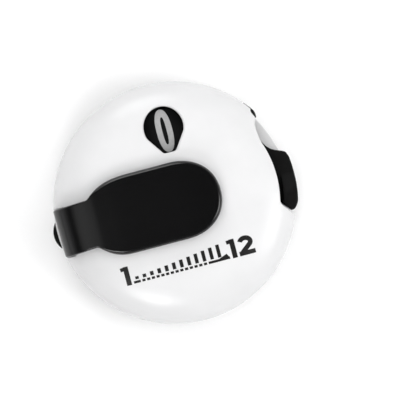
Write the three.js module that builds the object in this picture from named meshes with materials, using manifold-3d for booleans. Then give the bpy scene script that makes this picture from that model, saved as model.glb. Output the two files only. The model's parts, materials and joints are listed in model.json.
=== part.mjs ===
// Round pocket tally counter: a 30 mm disc case that counts from 0 to 12 and resets at one touch.
// Millimetres. The back lies on Z = 0 and the face looks along +Z; the origin is the centre of the
// back, +X runs along the clip to its tip, and +Y points to the number window.
import * as THREE from 'three';
import { mergeVertices } from 'three/addons/utils/BufferGeometryUtils.js';
import Module from 'manifold-3d';

const wasm = await Module();
wasm.setup();

// Case
const CASE_R = 15;                 // outside of the skirt
const WALL = 1.1;
const FACE_Z = 10.5;               // centre of the domed face
const SKIRT_Z = 3.1;               // lower edge of the skirt
const DOME_Z = 6.4;                // where the skirt turns into the domed face
const DOME_POWER = 5;              // the higher, the flatter the face and the tighter its shoulder
const BASE_R = 14.45;
const BACK_R = 12.4;
const FLOOR = 1.2;
const CAVITY_R = 12.9;
const SPIGOT_R = 13.75;            // lip of the base inside the skirt
const SPIGOT_Z = 4.1;
const SLOT_ROOF = 7.1;             // top of the slot that the lever runs in
const FIT = 0.1;                   // gap between pieces that sit on each other
const CLEAR = 0.3;                 // gap beside pieces that move

// Number window, above the axis
const WINDOW = { y: 9.25, halfWidth: 2.45, rise: 2.6, foot: 6.1, footHalf: 0.8 };

// Axis that the number wheel and the lever share
const AXIS = new THREE.Vector2(1.05, 0);
const ORIGIN = new THREE.Vector2(0, 0);
const COUNTS = 13;                 // the numbers 0 to 12
const PITCH = 360 / COUNTS;
const AXLE_R = 1.2;
const HUB_R = 2.2;
const BOSS_TOP = 1.9;              // of the boss that the axle stands on
const FLANGE_TOP = 2.15;

// Layers above the floor
const HUB_Z = 2.4;
const LEVER_Z = 4.4;
const LEVER_TOP = 5.4;
const PAWL_Z = 5.7;
const PAWL_TOP = 6.6;
const WHEEL_Z = 6.9;
const WHEEL_TOP = 8.1;
const WHEEL_R = 11.95;
const CLIP_GROOVE_Z = 8.4;         // groove near the axle's top for the retaining washer

// Ratchet and pawls
const TOOTH_R = 5.6;
const ROOT_R = 4.7;
const VALLEY = -35;                // angle of one tooth valley about the axis, in degrees
const DRIVE_PIVOT = { r: 7, angle: -75 };
const DRIVE_SWING = 13;            // degrees from lifted clear to engaged
const HOLD_PIVOT = new THREE.Vector2(-7.5, 4);
const HOLD_VALLEY = 6;             // the tooth valley, counted on from the first, that it holds
const PIN_R = 0.5;
const WIRE_R = 0.13;
const FINE_WIRE_R = 0.1;

// Posts, pegs and stops, by radius and angle about the axis
const SPRING_ANCHOR = { r: 6.2, angle: 200 };
const LEVER_POST = { r: 9.5, angle: -125 };
const LEVER_PEG = { r: 8.3, angle: -62 };
const HOLD_POST = new THREE.Vector2(-5.2, 9.2);
const POST_R = 0.5;
const ZERO_PEG = { r: 4.2, angle: 270 };
const ZERO_PEG_R = 0.45;

// Curved wall that lifts the drive pawl clear when the lever is at rest
const LIFTER = { from: -97, to: -55, innerR: 9.47, rise: 0.29, riseFrom: -89.7, outerR: 10.6 };

// Thumb pad of the lever
const PAD_INNER_R = 11.6;          // about the axis
const RIDGE_INNER_R = 12.35;
const PAD_OUTER_R = 15.25;         // about the centre of the case
const PAD_TOP = 6.5;
const RIDGE_TOP = 7.8;
const RAMP = { from: -2.6, to: 1.4 };   // y between which the ridge falls to the pad's upper end

// Reset button, in the side of the case under the clip
const RESET = { y: -0.3, wide: 3.4, low: 3.3, high: 5.5, outerR: 15.55 };

// Clip
const CLIP_THICK = 1.3;
const CLIP_TOP = 12.5;
const CLIP_BACK = -14.9;
const CLIP_SPLIT = 9.3;            // height of the root, where the clip flexes
const CLIP_BEND = { long: 5.5, high: 3 };   // half axes of the quarter ellipse it bends round
const CLIP_TOOTH = { from: 3.6, to: 5, deep: 0.4 };   // rib under the tip that grips cloth
const CLIP_FOOT = { low: 6, high: 7, end: -11.5 };
const NECK = { low: -3.2, high: 2.8 };      // y of its edges, where it goes into the case
const PADDLE = { top: 4.87, bottom: -4.75, tip: 5.9 };

// Finishes
const finish = (color, roughness, metalness) => ({ color, roughness, metalness });
const WHITE = finish(0xf0f0f2, 0.28, 0);
const BLACK_GLOSS = finish(0x0c0c0d, 0.2, 0);
const BLACK_SATIN = finish(0x141414, 0.45, 0);
const BLACK_MATTE = finish(0x161616, 0.6, 0);
const ACETAL = finish(0xe6e2d6, 0.45, 0);
const RUBBER = finish(0x101010, 0.85, 0);
const STEEL = finish(0xb4b6b8, 0.3, 1);

const counter = new THREE.Group();
const radians = THREE.MathUtils.degToRad;

// ---- helpers -------------------------------------------------------------------------------

function solid(geometry) {
  geometry.deleteAttribute('normal');
  geometry.deleteAttribute('uv');
  const merged = mergeVertices(geometry, 1e-4);
  const corners = merged.index.array;
  const triangles = [];
  for (let i = 0; i < corners.length; i += 3) {
    const [a, b, c] = corners.slice(i, i + 3);
    if (a !== b && b !== c && c !== a) triangles.push(a, b, c);
  }
  return new wasm.Manifold(new wasm.Mesh({
    numProp: 3,
    vertProperties: new Float32Array(merged.attributes.position.array),
    triVerts: new Uint32Array(triangles),
  }));
}

function addPiece(name, body, look) {
  const mesh = body.getMesh();
  const geometry = new THREE.BufferGeometry();
  geometry.setAttribute('position', new THREE.BufferAttribute(mesh.vertProperties, 3));
  geometry.setIndex(new THREE.BufferAttribute(mesh.triVerts, 1));
  const piece = new THREE.Mesh(geometry, new THREE.MeshStandardMaterial(look));
  piece.name = name;
  counter.add(piece);
}

function polar(r, degrees, centre = AXIS) {
  const angle = radians(degrees);
  return new THREE.Vector2(centre.x + r * Math.cos(angle), centre.y + r * Math.sin(angle));
}

function arcPoints(r, from, to, centre, steps = 12) {
  const at = (i) => polar(r, from + ((to - from) * i) / steps, centre);
  return Array.from({ length: steps + 1 }, (_, i) => at(i));
}

function plate(outline, low, high, curveSegments = 16) {
  const shape = Array.isArray(outline) ? new THREE.Shape(outline) : outline;
  const options = { depth: high - low, bevelEnabled: false, curveSegments };
  return solid(new THREE.ExtrudeGeometry(shape, options).translate(0, 0, low));
}

function rod(centre, r, low, high, segments = 24) {
  const geometry = new THREE.CylinderGeometry(r, r, high - low, segments).rotateX(Math.PI / 2);
  return solid(geometry.translate(centre.x, centre.y, (low + high) / 2));
}

function ring(centre, innerR, outerR, low, high, segments = 32) {
  return rod(centre, outerR, low, high, segments)
    .subtract(rod(centre, innerR, low - 1, high + 1, segments));
}

function block(x0, x1, y0, y1, z0, z1) {
  const geometry = new THREE.BoxGeometry(x1 - x0, y1 - y0, z1 - z0);
  return solid(geometry.translate((x0 + x1) / 2, (y0 + y1) / 2, (z0 + z1) / 2));
}

// A bar of the given half width with round ends.
function bar(from, to, half, low, high) {
  const along = Math.atan2(to.y - from.y, to.x - from.x);
  const shape = new THREE.Shape();
  shape.absarc(to.x, to.y, half, along - Math.PI / 2, along + Math.PI / 2);
  shape.absarc(from.x, from.y, half, along + Math.PI / 2, along + 1.5 * Math.PI);
  return plate(shape, low, high, 6);
}

function turned(profile, segments = 64) {
  const points = profile.map(([r, z]) => new THREE.Vector2(r, z));
  return solid(new THREE.LatheGeometry(points, segments).rotateX(Math.PI / 2));
}

function wire(curve, steps, r = WIRE_R) {
  const section = new THREE.Shape();
  section.absarc(0, 0, r, 0, 2 * Math.PI);
  const options = { steps, extrudePath: curve, bevelEnabled: false, curveSegments: 3 };
  return solid(new THREE.ExtrudeGeometry(section, options));
}

class Coil extends THREE.Curve {
  constructor(start, end, r, turns) {
    super();
    Object.assign(this, { start, end, r, turns });
    this.along = end.clone().sub(start).normalize();
    this.side = new THREE.Vector3(0, 0, 1).cross(this.along).normalize();
    this.up = this.along.clone().cross(this.side);
  }

  getPoint(t) {
    const angle = 2 * Math.PI * this.turns * t;
    return this.start.clone().lerp(this.end, t)
      .addScaledVector(this.side, this.r * Math.cos(angle))
      .addScaledVector(this.up, this.r * Math.sin(angle));
  }
}

const atHeight = (point, z) => new THREE.Vector3(point.x, point.y, z);
const corners = (points) => points.map(([x, y]) => new THREE.Vector2(x, y));

// ---- places shared by several pieces -------------------------------------------------------

const NOTCH_R = 13;                // inner wall of the lever's notch, about the centre of the case
const NOTCH_LOWER_EDGE = corners([[19, -11.3], [13.8, -4.95], [12.6, -3.4]]);
const NOTCH_UPPER_EDGE = corners([
  [12.05, 5.15], [11.98, 6.2], [12.02, 6.95], [12.3, 7.62], [12.08, 8.05], [11.87, 8.55],
  [12.02, 8.85], [16, 11.8],
]);
const SLOT_END = 41.5;             // degrees about the centre of the case
const PAD_UPPER_EDGE = corners([
  [11.75, 5], [12.3, 4.6], [12.69, 3.9], [13.2, 3.4], [13.72, 3.13], [14.6, 2.79], [14.88, 2.6],
]);
const PAD_LOWER_EDGE = corners([[14.45, -4.25], [14.2, -4.5], [13.75, -4.6], [12.7, -3.2]]);
const drivePivot = polar(DRIVE_PIVOT.r, DRIVE_PIVOT.angle);
const leverPeg = polar(LEVER_PEG.r, LEVER_PEG.angle);
const leverPost = polar(LEVER_POST.r, LEVER_POST.angle);
const springAnchor = polar(SPRING_ANCHOR.r, SPRING_ANCHOR.angle);
const holdNose = polar(TOOTH_R + 0.7, VALLEY + HOLD_VALLEY * PITCH);
const resetTail = new THREE.Vector2(-9.25, RESET.y);

// ---- case ----------------------------------------------------------------------------------

// Superellipse from the top of the skirt up to the middle of the face, moved in by an inset.
function dome(inset, steps) {
  const points = [];
  for (let i = 0; i < steps; i += 1) {
    const angle = (Math.PI / 2) * (i / steps);
    points.push([
      (CASE_R - inset) * Math.cos(angle) ** (2 / DOME_POWER),
      DOME_Z + (FACE_Z - DOME_Z - inset) * Math.sin(angle),
    ]);
  }
  return [...points, [0, FACE_Z - inset]];
}

// The lever's notch in the shoulder, open upwards.
function leverNotch() {
  const outline = [
    ...NOTCH_LOWER_EDGE,
    ...arcPoints(NOTCH_R, -13, 21, ORIGIN, 16),
    ...NOTCH_UPPER_EDGE,
  ];
  return plate(outline, 0, FACE_Z + 3);
}

// The slot through the skirt that the notch opens into: it runs on under the shoulder.
function leverSlot() {
  const outline = [
    ...NOTCH_LOWER_EDGE,
    ...arcPoints(NOTCH_R - FIT, -12, SLOT_END, ORIGIN, 20),
    polar(CASE_R + 4, SLOT_END, ORIGIN),
  ];
  return plate(outline, 0, SLOT_ROOF);
}

// Number window: a round top whose sides run down to a narrow foot.
function windowOpening() {
  const { y, halfWidth, rise, footHalf, foot } = WINDOW;
  const corner = 0.15;
  const outline = [
    ...arcPoints(1, -17, 197, ORIGIN, 24)
      .map((point) => new THREE.Vector2(AXIS.x + halfWidth * point.x, y + rise * point.y)),
    new THREE.Vector2(AXIS.x - footHalf - corner, foot + 1.5 * corner),
    new THREE.Vector2(AXIS.x - footHalf + corner, foot),
    new THREE.Vector2(AXIS.x + footHalf - corner, foot),
    new THREE.Vector2(AXIS.x + footHalf + corner, foot + 1.5 * corner),
  ];
  return plate(outline, WHEEL_TOP + 0.2, FACE_Z + 1);
}

function clipOpening() {
  return block(-CASE_R - 1, -13.3, NECK.low - FIT, NECK.high + FIT, 5.8, FACE_Z + 1);
}

function resetOpening() {
  const half = RESET.wide / 2 + 0.15;
  return block(-CASE_R - 1, -12, RESET.y - half, RESET.y + half, SKIRT_Z, RESET.high + 0.15);
}

function topShell() {
  const shell = turned([
    ...dome(WALL, 8).reverse(),
    [CASE_R - WALL, SKIRT_Z],
    [CASE_R, SKIRT_Z],
    ...dome(0, 11),
  ]);
  const stop = polar(ZERO_PEG.r, ZERO_PEG.angle - PITCH / 2);
  const zeroStop = rod(stop, ZERO_PEG_R, WHEEL_TOP + CLEAR, FACE_Z - WALL / 2, 20);
  const clipKeeper = block(-13, -11.9, -2.4, 2.4, 7.15, 8.6);
  return shell.add(zeroStop).add(clipKeeper)
    .subtract(leverNotch()).subtract(leverSlot())
    .subtract(windowOpening()).subtract(clipOpening()).subtract(resetOpening());
}

// The base, moulded with its bosses, posts, the cheeks that hold the clip, and the pawl's lifter.
function bottomShell() {
  const cornerTop = 2.6;
  const cornerR = 0.4;
  const shell = turned([
    [0, 0], [BACK_R, 0], [13.2, 0.25], [13.9, 0.85], [14.3, 1.7], [BASE_R, cornerTop],
    [BASE_R, SKIRT_Z - FIT], [SPIGOT_R, SKIRT_Z - FIT], [SPIGOT_R, SPIGOT_Z],
    [CAVITY_R, SPIGOT_Z], [CAVITY_R, FLOOR + cornerR], [CAVITY_R - cornerR, FLOOR], [0, FLOOR],
  ]);
  const root = FLOOR - 0.2;        // what stands on the floor is sunk into it by this much
  const ledge = plate([
    ...arcPoints(BASE_R, -17.5, 41, ORIGIN, 24),
    ...arcPoints(CAVITY_R + FIT, 41, -14.8, ORIGIN, 24),
  ], SKIRT_Z - 0.5, SPIGOT_Z);
  const axleBoss = rod(AXIS, 2.1, root, BOSS_TOP);
  const holdBoss = rod(HOLD_PIVOT, 1.2, root, LEVER_TOP);
  const clipCheeks = [[1.3, 3.2], [-3.2, -1.9]].map(
    ([y0, y1]) => block(-13.1, CLIP_FOOT.end, y0, y1, root, CLIP_FOOT.low - FIT));
  const resetSeat = block(-7, -6.3, RESET.y - 1.1, RESET.y + 1.1, root, 3.8);
  const leverSpringPost = rod(leverPost, POST_R, root, 3.9, 20);
  const holdSpringPost = rod(HOLD_POST, POST_R, root, PAWL_TOP, 20);
  const anchorHole = rod(springAnchor, 0.45, FLOOR - 0.7, FLOOR + 1, 20);
  const screwHole = rod(AXIS, 0.75, -1, 3, 24).add(rod(AXIS, 1.7, -1, 0.9, 32));
  return [ledge, axleBoss, holdBoss, ...clipCheeks, resetSeat, pawlLifter(root), leverSpringPost,
    holdSpringPost].reduce((body, part) => body.add(part), shell)
    .subtract(rod(HOLD_PIVOT, PIN_R + FIT, 2, PAWL_TOP))
    .subtract(anchorHole)
    .subtract(screwHole)
    .subtract(resetOpening());
}

function pawlLifter(low) {
  const steps = 14;
  const turn = LIFTER.to - LIFTER.from;
  const full = LIFTER.to - LIFTER.riseFrom - 3.7;
  const inner = Array.from({ length: steps + 1 }, (_, i) => {
    const angle = LIFTER.from + (turn * i) / steps;
    return polar(LIFTER.innerR + (LIFTER.rise * Math.max(0, angle - LIFTER.riseFrom)) / full, angle);
  });
  return plate([...inner, ...arcPoints(LIFTER.outerR, LIFTER.to, LIFTER.from, AXIS, 12)], low, PAWL_TOP);
}

// Rubber block at the end of the lever's slot, with a thin tongue back along the slot's roof.
function stopBumper() {
  const top = SLOT_ROOF - FIT;
  const end = SLOT_END - 0.4;
  const stop = plate([
    polar(14.98, 37, ORIGIN), polar(14.98, end, ORIGIN), polar(14, end, ORIGIN),
    polar(14, 39.9, ORIGIN),
  ], SPIGOT_Z + FIT, top);
  const tongue = plate([
    ...arcPoints(14.93, 31.6, 38, ORIGIN, 8),
    ...arcPoints(14.45, 38, 31.8, ORIGIN, 8),
  ], top - 0.25, top);
  return stop.add(tongue);
}

// ---- centre: axle, screw, washers ----------------------------------------------------------

function axlePost() {
  const flange = rod(AXIS, 2, BOSS_TOP + FIT, FLANGE_TOP);
  return rod(AXIS, AXLE_R, BOSS_TOP + FIT, CLIP_GROOVE_Z + 0.55).add(flange)
    .subtract(ring(AXIS, 0.9, 1.5, CLIP_GROOVE_Z, CLIP_GROOVE_Z + 0.25))
    .subtract(rod(AXIS, 0.65, 1, 5.2, 24));
}

function centreScrew() {
  const slot = block(AXIS.x - 1.2, AXIS.x + 1.2, -0.2, 0.2, -1, 0.45);
  return rod(AXIS, 1.5, 0.15, 0.8).add(rod(AXIS, 0.55, 0.7, 4.8, 24)).subtract(slot);
}

function wheelRetainer() {
  const gap = block(AXIS.x + 0.4, AXIS.x + 3, -0.45, 0.45, 8, 9);
  return ring(AXIS, 1, 2, CLIP_GROOVE_Z + 0.05, CLIP_GROOVE_Z + 0.2, 36).subtract(gap);
}

const thrustWasher = () => ring(AXIS, AXLE_R + FIT, HUB_R, FLANGE_TOP + 0.03, HUB_Z - 0.04, 36);

// ---- number wheel and ratchet --------------------------------------------------------------

function numberWheel() {
  const bore = AXLE_R + FIT;
  const chamfer = 0.5;
  const disc = turned([
    [bore, HUB_Z], [HUB_R, HUB_Z], [HUB_R, WHEEL_Z], [WHEEL_R, WHEEL_Z],
    [WHEEL_R, WHEEL_TOP - chamfer], [WHEEL_R - chamfer, WHEEL_TOP], [bore, WHEEL_TOP],
    [bore, HUB_Z],
  ]).translate([AXIS.x, AXIS.y, 0]);
  const zeroPeg = rod(polar(ZERO_PEG.r, ZERO_PEG.angle), ZERO_PEG_R, WHEEL_TOP - 0.2,
    WHEEL_TOP + 0.75, 20);
  return disc.add(zeroPeg);
}

function ratchetWheel() {
  const outline = [];
  for (let tooth = 0; tooth < COUNTS; tooth += 1) {
    const start = VALLEY + tooth * PITCH;
    outline.push(polar(ROOT_R, start));
    for (const part of [0.02, 0.35, 0.68]) {
      outline.push(polar(TOOTH_R - (TOOTH_R - ROOT_R) * part, start + part * PITCH));
    }
  }
  return plate(outline, PAWL_Z, WHEEL_Z - FIT).subtract(rod(AXIS, HUB_R + FIT, 0, 9, 48));
}

// Flat spiral from the wheel's hub out to an eye round the anchor pin.
function spiralSpring() {
  const turns = 3.2;
  const steps = 56;
  const half = 0.07;
  const low = 2.5;
  const high = 4;
  const innerR = HUB_R + 0.25;
  const outerR = SPRING_ANCHOR.r - 0.1;
  const startAngle = SPRING_ANCHOR.angle - 360 * turns;
  const edge = (i, offset) => {
    const t = i / steps;
    return polar(innerR + (outerR - innerR) * t + offset, startAngle + 360 * turns * t);
  };
  const outer = Array.from({ length: steps + 1 }, (_, i) => edge(i, half));
  const inner = Array.from({ length: steps + 1 }, (_, i) => edge(steps - i, -half));
  const eyeR = 0.38;
  const eye = ring(springAnchor, eyeR, 0.55, low, high, 16);
  return plate([...outer, ...inner], low, high).add(eye)
    .subtract(rod(springAnchor, eyeR, low - 1, high + 1, 16));
}

// ---- lever and drive pawl ------------------------------------------------------------------

const PAD_OUTLINE = [
  ...PAD_LOWER_EDGE,
  ...arcPoints(PAD_INNER_R, -14, 24, AXIS, 12),
  ...PAD_UPPER_EDGE,
  ...arcPoints(PAD_OUTER_R, 7.5, -14, ORIGIN, 16),
];

function countLever() {
  const hub = ring(AXIS, HUB_R + CLEAR, 4.1, LEVER_Z, LEVER_TOP);
  const arm = plate([
    polar(3.4, -32), polar(PAD_INNER_R + 1, -13.5),
    polar(PAD_INNER_R + 1, 13), polar(3.4, 32),
  ], LEVER_Z, LEVER_TOP).subtract(rod(AXIS, HUB_R + CLEAR, 0, 9, 48));
  const ear = bar(polar(3.6, -72), drivePivot, 1.25, LEVER_Z, LEVER_TOP);
  const earTip = bar(drivePivot, leverPeg, 0.7, LEVER_Z, LEVER_TOP);
  const peg = rod(leverPeg, 0.4, 2.4, LEVER_Z + 0.2, 20);
  const pad = plate(PAD_OUTLINE, LEVER_Z, PAD_TOP);
  const ridge = plate(PAD_OUTLINE, PAD_TOP - 0.2, RIDGE_TOP)
    .subtract(rod(AXIS, RIDGE_INNER_R, 0, 9, 72));
  const profile = new THREE.Shape(corners([
    [-6, PAD_TOP - 0.4], [RAMP.to, PAD_TOP - 0.4], [RAMP.from, RIDGE_TOP], [-6, RIDGE_TOP],
  ]));
  const ramp = solid(new THREE.ExtrudeGeometry(profile, { depth: 5, bevelEnabled: false })
    .rotateX(Math.PI / 2).rotateZ(Math.PI / 2).translate(11.5, 0, 0));
  return [arm, ear, earTip, peg, pad, ridge.intersect(ramp)]
    .reduce((body, part) => body.add(part), hub)
    .subtract(rod(drivePivot, PIN_R + FIT, LEVER_Z + 0.3, 9, 24));
}

// Outline in the pawl's own axes: u from its pivot to its nose, v towards the ratchet.
function drivePawl() {
  const nose = polar(ROOT_R + 0.17, VALLEY - 1.9);
  const reach = nose.distanceTo(drivePivot);
  const eye = 1;
  const tail = 2.6;
  const outline = [
    [reach, 0], [reach - 1.1, -0.35], [2.2, -0.22], [1.2, 0.55], [0, eye], [-0.8, 0.7],
    [-tail, 0.45], [-tail - 0.4, 0.2], [-tail - 0.5, 0], [-tail - 0.4, -0.25], [-tail, -0.45],
    [-0.8, -0.8], [0, -eye], [1.4, -1.1], [reach - 0.8, -1.25], [reach - 0.2, -1],
  ].reverse().map(([u, v]) => new THREE.Vector2(u, v));
  const geometry = new THREE.ExtrudeGeometry(new THREE.Shape(outline),
    { depth: PAWL_TOP - PAWL_Z, bevelEnabled: false });
  const heading = Math.atan2(nose.y - drivePivot.y, nose.x - drivePivot.x);
  geometry.rotateZ(heading - radians(DRIVE_SWING));
  geometry.translate(drivePivot.x, drivePivot.y, PAWL_Z);
  return solid(geometry).subtract(rod(drivePivot, PIN_R + FIT, 0, 9, 24));
}

function drivePawlSpring() {
  const z = LEVER_TOP + 0.15;
  const path = new THREE.CatmullRomCurve3([
    atHeight(polar(8.3, -60), z), atHeight(polar(8.9, -64), z), atHeight(polar(8.9, -72), z),
    atHeight(polar(8.6, -80), z),
  ]);
  return wire(path, 12, FINE_WIRE_R);
}

function leverReturnSpring() {
  const z = 3.1;
  const along = leverPeg.clone().sub(leverPost).normalize();
  const start = leverPost.clone().addScaledVector(along, 1.1);
  const end = leverPeg.clone().addScaledVector(along, -1.1);
  return wire(new Coil(atHeight(start, z), atHeight(end, z), 0.6, 8), 80);
}

// ---- hold pawl and reset -------------------------------------------------------------------

function holdPawl() {
  const arm = bar(HOLD_PIVOT, holdNose.clone().lerp(HOLD_PIVOT, 0.12), 0.55, PAWL_Z, PAWL_TOP);
  const tail = bar(HOLD_PIVOT, resetTail, 0.5, PAWL_Z, PAWL_TOP);
  return rod(HOLD_PIVOT, 1.1, PAWL_Z, PAWL_TOP).add(arm).add(tail)
    .subtract(rod(HOLD_PIVOT, PIN_R + FIT, 0, 9, 24));
}

function holdPawlLeaf() {
  const tip = polar(ROOT_R + 0.2, VALLEY + HOLD_VALLEY * PITCH - 2);
  const root = holdNose.clone().lerp(tip, 0.22);
  const inward = tip.clone().sub(root).normalize();
  return bar(root, tip.addScaledVector(inward, -0.08), 0.08, PAWL_Z + 0.1, PAWL_TOP - 0.1);
}

function holdPawlSpring() {
  const z = (PAWL_Z + PAWL_TOP) / 2;
  const path = new THREE.CatmullRomCurve3([
    new THREE.Vector3(-5.8, 8.6, z), new THREE.Vector3(-6.2, 7.2, z),
    new THREE.Vector3(-5.6, 5.6, z), new THREE.Vector3(-4.9, 4.85, z),
  ]);
  return wire(path, 12, FINE_WIRE_R);
}

function resetButton() {
  const half = RESET.wide / 2;
  const span = THREE.MathUtils.radToDeg(Math.asin(half / RESET.outerR));
  const offset = THREE.MathUtils.radToDeg(Math.asin(-RESET.y / RESET.outerR));
  const cap = plate([
    ...arcPoints(RESET.outerR, 180 + offset - span, 180 + offset + span, ORIGIN, 10),
    new THREE.Vector2(-13.6, RESET.y - half), new THREE.Vector2(-13.6, RESET.y + half),
  ], RESET.low, RESET.high);
  const stem = block(-13.8, -10.2, RESET.y - 1.3, RESET.y + 1.3, 3.6, 5.2);
  const pusher = block(-10.8, -9.95, RESET.y - 1.1, RESET.y + 1.1, 1.8, 6.5);
  return cap.add(stem).add(pusher);
}

function resetSpring() {
  const z = 2.7;
  const start = new THREE.Vector3(-9.6, RESET.y, z);
  const end = new THREE.Vector3(-7.3, RESET.y, z);
  return wire(new Coil(start, end, 0.7, 4), 40);
}

// ---- clip ----------------------------------------------------------------------------------

// Seen from above: a straight neck at the bend that opens into a paddle with a round tip.
function clipOutline() {
  const shape = new THREE.Shape();
  const tipR = (PADDLE.top - PADDLE.bottom) / 2;
  const tipY = (PADDLE.top + PADDLE.bottom) / 2;
  shape.moveTo(-CASE_R - 1, NECK.low);
  shape.lineTo(-14, NECK.low);
  shape.lineTo(-10.3, -2.96);
  shape.bezierCurveTo(-9.4, -3.7, -8.6, PADDLE.bottom, -6.2, PADDLE.bottom);
  shape.lineTo(PADDLE.tip - tipR, PADDLE.bottom);
  shape.absarc(PADDLE.tip - tipR, tipY, tipR, -Math.PI / 2, Math.PI / 2);
  shape.lineTo(-4.7, PADDLE.top);
  shape.bezierCurveTo(-7.9, PADDLE.top, -9.2, 4, -10.2, 2.97);
  shape.lineTo(-14.2, NECK.high);
  shape.lineTo(-CASE_R - 1, NECK.high);
  return shape;
}

// The back of the clip follows the round side of the case.
const clipBack = () => rod(ORIGIN, -CLIP_BACK, 0, CLIP_TOP + 1, 96);

function clipArm() {
  const { long, high } = CLIP_BEND;
  const bendX = CLIP_BACK + long;
  const bendZ = CLIP_TOP - high;
  const under = CLIP_TOP - CLIP_THICK;
  const side = new THREE.Shape();
  side.moveTo(CLIP_BACK, CLIP_SPLIT + FIT);
  side.lineTo(CLIP_BACK + CLIP_THICK, CLIP_SPLIT + FIT);
  side.absellipse(bendX, bendZ, long - CLIP_THICK, high - CLIP_THICK, Math.PI, Math.PI / 2, true);
  side.lineTo(CLIP_TOOTH.from, under);
  side.lineTo(CLIP_TOOTH.from + 0.3, under - CLIP_TOOTH.deep);
  side.lineTo(CLIP_TOOTH.to - 0.3, under - CLIP_TOOTH.deep);
  side.lineTo(CLIP_TOOTH.to, under);
  side.lineTo(PADDLE.tip + 1, under);
  side.lineTo(PADDLE.tip + 1, CLIP_TOP);
  side.absellipse(bendX, bendZ, long, high, Math.PI / 2, Math.PI);
  const strip = new THREE.ExtrudeGeometry(side, { depth: 12, bevelEnabled: false, curveSegments: 10 })
    .rotateX(Math.PI / 2).translate(0, 6, 0);
  return solid(strip).intersect(plate(clipOutline(), 0, CLIP_TOP + 1, 24)).intersect(clipBack());
}

function clipRoot() {
  const { low, high, end } = CLIP_FOOT;
  const leg = block(CLIP_BACK, CLIP_BACK + CLIP_THICK, NECK.low, NECK.high, low, CLIP_SPLIT);
  const foot = block(CLIP_BACK + 0.2, end, NECK.low, NECK.high, low, high);
  return leg.add(foot).intersect(clipBack());
}

// ---- assembly ------------------------------------------------------------------------------

addPiece('top_shell', topShell(), WHITE);
addPiece('bottom_shell', bottomShell(), WHITE);
addPiece('clip_root', clipRoot(), BLACK_GLOSS);
addPiece('clip_arm', clipArm(), BLACK_GLOSS);
addPiece('lever_stop_bumper', stopBumper(), RUBBER);
addPiece('axle_post', axlePost(), STEEL);
addPiece('centre_screw', centreScrew(), STEEL);
addPiece('wheel_retainer', wheelRetainer(), STEEL);
addPiece('thrust_washer', thrustWasher(), STEEL);
addPiece('number_wheel', numberWheel(), BLACK_MATTE);
addPiece('ratchet_wheel', ratchetWheel(), ACETAL);
addPiece('wheel_return_spring', spiralSpring(), STEEL);
addPiece('spring_anchor_pin', rod(springAnchor, 0.3, FLOOR - 0.5, 4.1, 16), STEEL);
addPiece('count_lever', countLever(), BLACK_SATIN);
addPiece('lever_return_spring', leverReturnSpring(), STEEL);
addPiece('drive_pawl', drivePawl(), ACETAL);
addPiece('drive_pawl_pin', rod(drivePivot, PIN_R, LEVER_Z + 0.4, PAWL_TOP + 0.1, 24), STEEL);
addPiece('drive_pawl_spring', drivePawlSpring(), STEEL);
addPiece('hold_pawl', holdPawl(), ACETAL);
addPiece('hold_pawl_leaf', holdPawlLeaf(), STEEL);
addPiece('hold_pawl_pin', rod(HOLD_PIVOT, PIN_R, 2.1, PAWL_TOP + 0.1, 24), STEEL);
addPiece('hold_pawl_spring', holdPawlSpring(), STEEL);
addPiece('reset_button', resetButton(), BLACK_SATIN);
addPiece('reset_spring', resetSpring(), STEEL);

export default counter;
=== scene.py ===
"""Round pocket tally counter: a white 30 mm case, a black clip, a thumb lever and a number wheel.

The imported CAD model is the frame. Lengths below are in millimetres in the CAD's frame, and each
mesh is scaled to metres when it is made. +Z looks out of the face, +X runs along the clip.
"""
import json
from bisect import bisect
from math import asin, atan2, cos, degrees, hypot, pi, radians, sin, sqrt

import bmesh
import bpy
from mathutils import Matrix, Vector

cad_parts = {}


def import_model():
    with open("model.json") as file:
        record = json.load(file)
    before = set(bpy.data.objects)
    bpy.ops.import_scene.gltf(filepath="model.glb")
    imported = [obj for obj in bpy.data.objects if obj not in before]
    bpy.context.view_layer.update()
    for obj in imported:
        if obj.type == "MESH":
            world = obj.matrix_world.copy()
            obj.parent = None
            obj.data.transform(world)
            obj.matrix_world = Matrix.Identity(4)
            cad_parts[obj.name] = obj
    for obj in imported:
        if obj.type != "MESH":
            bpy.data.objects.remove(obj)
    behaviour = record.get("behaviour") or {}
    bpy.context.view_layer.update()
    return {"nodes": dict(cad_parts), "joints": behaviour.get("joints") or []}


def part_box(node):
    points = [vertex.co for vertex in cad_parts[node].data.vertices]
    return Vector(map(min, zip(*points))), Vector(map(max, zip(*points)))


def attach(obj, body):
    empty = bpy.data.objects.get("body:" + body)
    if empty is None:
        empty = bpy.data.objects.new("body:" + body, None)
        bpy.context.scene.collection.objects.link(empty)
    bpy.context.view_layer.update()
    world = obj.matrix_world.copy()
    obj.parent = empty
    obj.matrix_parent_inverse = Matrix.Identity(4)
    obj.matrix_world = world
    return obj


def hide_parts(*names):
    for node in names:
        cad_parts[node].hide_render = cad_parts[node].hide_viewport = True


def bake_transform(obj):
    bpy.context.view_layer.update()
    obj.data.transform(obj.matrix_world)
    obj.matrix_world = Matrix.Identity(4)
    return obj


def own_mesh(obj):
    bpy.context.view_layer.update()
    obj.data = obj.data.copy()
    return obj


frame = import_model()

MM = 0.001


def cad(node):
    """Lowest and highest corner of a CAD node, in millimetres."""
    low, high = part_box(node)
    return low / MM, high / MM


def hinge_at(name):
    """Where a hinge of the frame is, in millimetres."""
    joint = next(j for j in frame["joints"] if j["name"] == name)
    return Vector(joint["pos_m"]) / MM


# ---- driving dimensions, from the frame -------------------------------------------------------

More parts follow.
